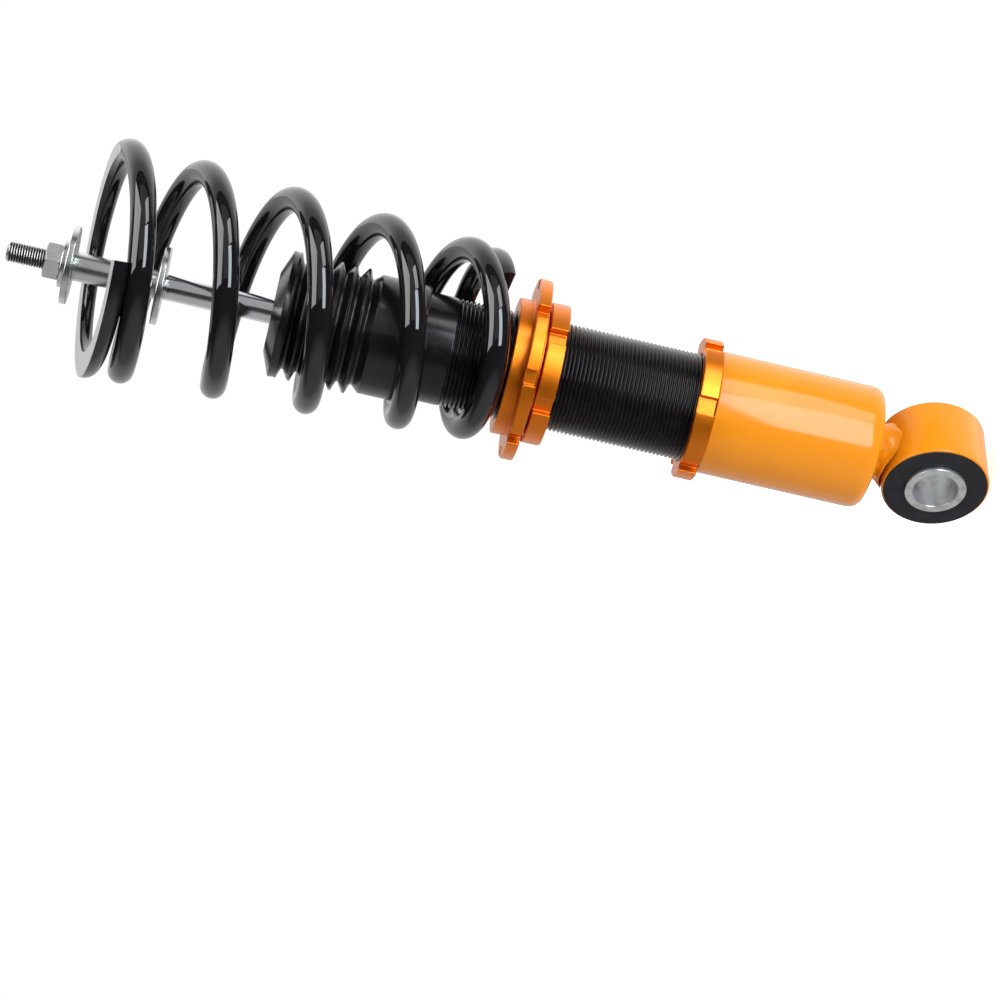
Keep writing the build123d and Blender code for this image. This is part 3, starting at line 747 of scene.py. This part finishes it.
FLATS = 17.0
NUT_TURN = 14.0
NUT_STEPS = 180
nut_columns = []
for n in range(NUT_STEPS):
    turn = 360 * n / NUT_STEPS
    off_flat = radians((turn - NUT_TURN) % 60 - 30)
    flat_r = FLATS / 2 / cos(off_flat)
    face_r = FLATS / 2 * 0.96
    drop = (flat_r - face_r) * tan(radians(30))
    way = Vector((cos(radians(turn)), sin(radians(turn)), 0))
    column = []
    for r, z in ((STUD_R + BORE_GAP, nut_low + 0.9), (STUD_R + 0.9, nut_low), (face_r, nut_low),
                 (flat_r, nut_low + drop), (flat_r, nut_top - drop), (face_r, nut_top),
                 (STUD_R + 0.9, nut_top), (STUD_R + BORE_GAP, nut_top - 0.9)):
        column.append(way * r + Vector((0, 0, z)))
    nut_columns.append(column)
nut = new_piece("top_nut_zinc", skin(nut_columns), zinc_plated, bevel=0.12)
fit(nut, "rod", ["top_nut"])

# ---------------------------------------------------------------- light, floor and camera

# the camera looks along this azimuth and elevation, rolled until the damper lies across the frame
VIEW_AZIMUTH = 46.24
VIEW_ELEVATION = 4.54
VIEW_ROLL = -77.24
CAMERA_AT = Vector((1135, -1176, 333))
LENS = 121.7
SENSOR = 36.0
FAR_END = 20.0              # metres
view_turn = (Matrix.Rotation(radians(VIEW_AZIMUTH), 3, "Z")
             @ Matrix.Rotation(radians(90 - VIEW_ELEVATION), 3, "X")
             @ Matrix.Rotation(radians(VIEW_ROLL), 3, "Z"))
VIEW_RIGHT, VIEW_UP, VIEW_BACK = view_turn.transposed()
MIDDLE = Vector((0, 0, 220))


def softbox(name, aside, above, spread_x, spread_y, radiance, colour=(1, 1, 1), distance=1400):
    """An area light at angles aside and above the camera's direction, seen from the object."""
    ahead = (VIEW_BACK * cos(radians(aside)) + VIEW_RIGHT * sin(radians(aside)))
    way = (ahead * cos(radians(above)) + VIEW_UP * sin(radians(above))).normalized()
    light = bpy.data.lights.new(name, "AREA")
    light.shape = "RECTANGLE"
    light.size = 2 * distance * tan(radians(spread_x / 2)) * MM
    light.size_y = 2 * distance * tan(radians(spread_y / 2)) * MM
    light.energy = radiance * pi * light.size * light.size_y
    light.color = colour
    box = bpy.data.objects.new(name, light)
    bpy.context.scene.collection.objects.link(box)
    face_x = VIEW_UP.cross(way).normalized()
    face_y = way.cross(face_x)
    turn = Matrix((face_x, face_y, way)).transposed().to_4x4()
    box.matrix_world = Matrix.Translation((MIDDLE + way * distance) * MM) @ turn
    box.visible_camera = False
    return box


softbox("left_box", -58, 25, 46, 50, 4.2)
softbox("right_bright", 30, 14, 26, 40, 8.0, (0.86, 0.95, 1.0), distance=1000)
softbox("right_soft", 40, 47, 26, 24, 4.2)
softbox("front_fill", 0, 38, 50, 70, 0.35)
softbox("top_box", 0, 124, 130, 70, 0.55)

world = bpy.data.worlds.new("studio")
bpy.context.scene.world = world
world.use_nodes = True
nodes, links = world.node_tree.nodes, world.node_tree.links
nodes.clear()
place = nodes.new("ShaderNodeTexCoord")


def toward(direction, start, end, low, high):
    """A smooth rise from low to high as a direction turns towards the given one."""
    dot = nodes.new("ShaderNodeVectorMath")
    dot.operation = "DOT_PRODUCT"
    dot.inputs[1].default_value = direction
    links.new(place.outputs["Generated"], dot.inputs[0])
    ramp = nodes.new("ShaderNodeMapRange")
    ramp.interpolation_type = "SMOOTHSTEP"
    for socket, value in (("From Min", start), ("From Max", end), ("To Min", low), ("To Max", high)):
        ramp.inputs[socket].default_value = value
    links.new(dot.outputs["Value"], ramp.inputs["Value"])
    return ramp.outputs["Result"]


def larger(first, second):
    """The larger of two values."""
    node = nodes.new("ShaderNodeMath")
    node.operation = "MAXIMUM"
    links.new(first, node.inputs[0])
    links.new(second, node.inputs[1])
    return node.outputs["Value"]


behind = toward(-VIEW_BACK, 0.1, 0.6, 0.05, 0.7)
below = toward(-VIEW_UP, 0.45, 0.85, 0.05, 0.45)
around = larger(behind, below)
path = nodes.new("ShaderNodeLightPath")
seen = larger(around, path.outputs["Is Camera Ray"])
backdrop = nodes.new("ShaderNodeBackground")
backdrop.inputs["Color"].default_value = (1, 1, 1, 1)
links.new(seen, backdrop.inputs["Strength"])
output = nodes.new("ShaderNodeOutputWorld")
links.new(backdrop.outputs["Background"], output.inputs["Surface"])

# the floor is a round white light table just under the eye
FLOOR_R = 2500.0
FLOOR_STEPS = 96
FLOOR_GLOW = 0.75
floor_edit = bmesh.new()
floor_z = cad_low.z - 0.0002
rim = [floor_edit.verts.new((FLOOR_R * MM * cos(2 * pi * n / FLOOR_STEPS),
                             FLOOR_R * MM * sin(2 * pi * n / FLOOR_STEPS), floor_z))
       for n in range(FLOOR_STEPS)]
floor_edit.faces.new(rim)
floor_mesh = bpy.data.meshes.new("floor")
floor_edit.to_mesh(floor_mesh)
floor_edit.free()
white = bpy.data.materials.new("floor_white")
white.use_nodes = True
paint = white.node_tree.nodes["Principled BSDF"]
paint.inputs["Base Color"].default_value = (0.9, 0.9, 0.9, 1)
paint.inputs["Roughness"].default_value = 0.9
paint.inputs["Emission Color"].default_value = (1, 1, 1, 1)
paint.inputs["Emission Strength"].default_value = FLOOR_GLOW
floor_mesh.materials.append(white)
floor = bpy.data.objects.new("floor", floor_mesh)
bpy.context.scene.collection.objects.link(floor)
floor.visible_glossy = False
floor.visible_shadow = False

camera_data = bpy.data.cameras.new("camera")
camera_data.lens = LENS
camera_data.sensor_width = SENSOR
camera_data.clip_end = FAR_END
camera = bpy.data.objects.new("camera", camera_data)
bpy.context.scene.collection.objects.link(camera)
camera.matrix_world = Matrix.Translation(CAMERA_AT * MM) @ view_turn.to_4x4()
bpy.context.scene.camera = camera
bpy.context.scene.view_settings.view_transform = "Standard"
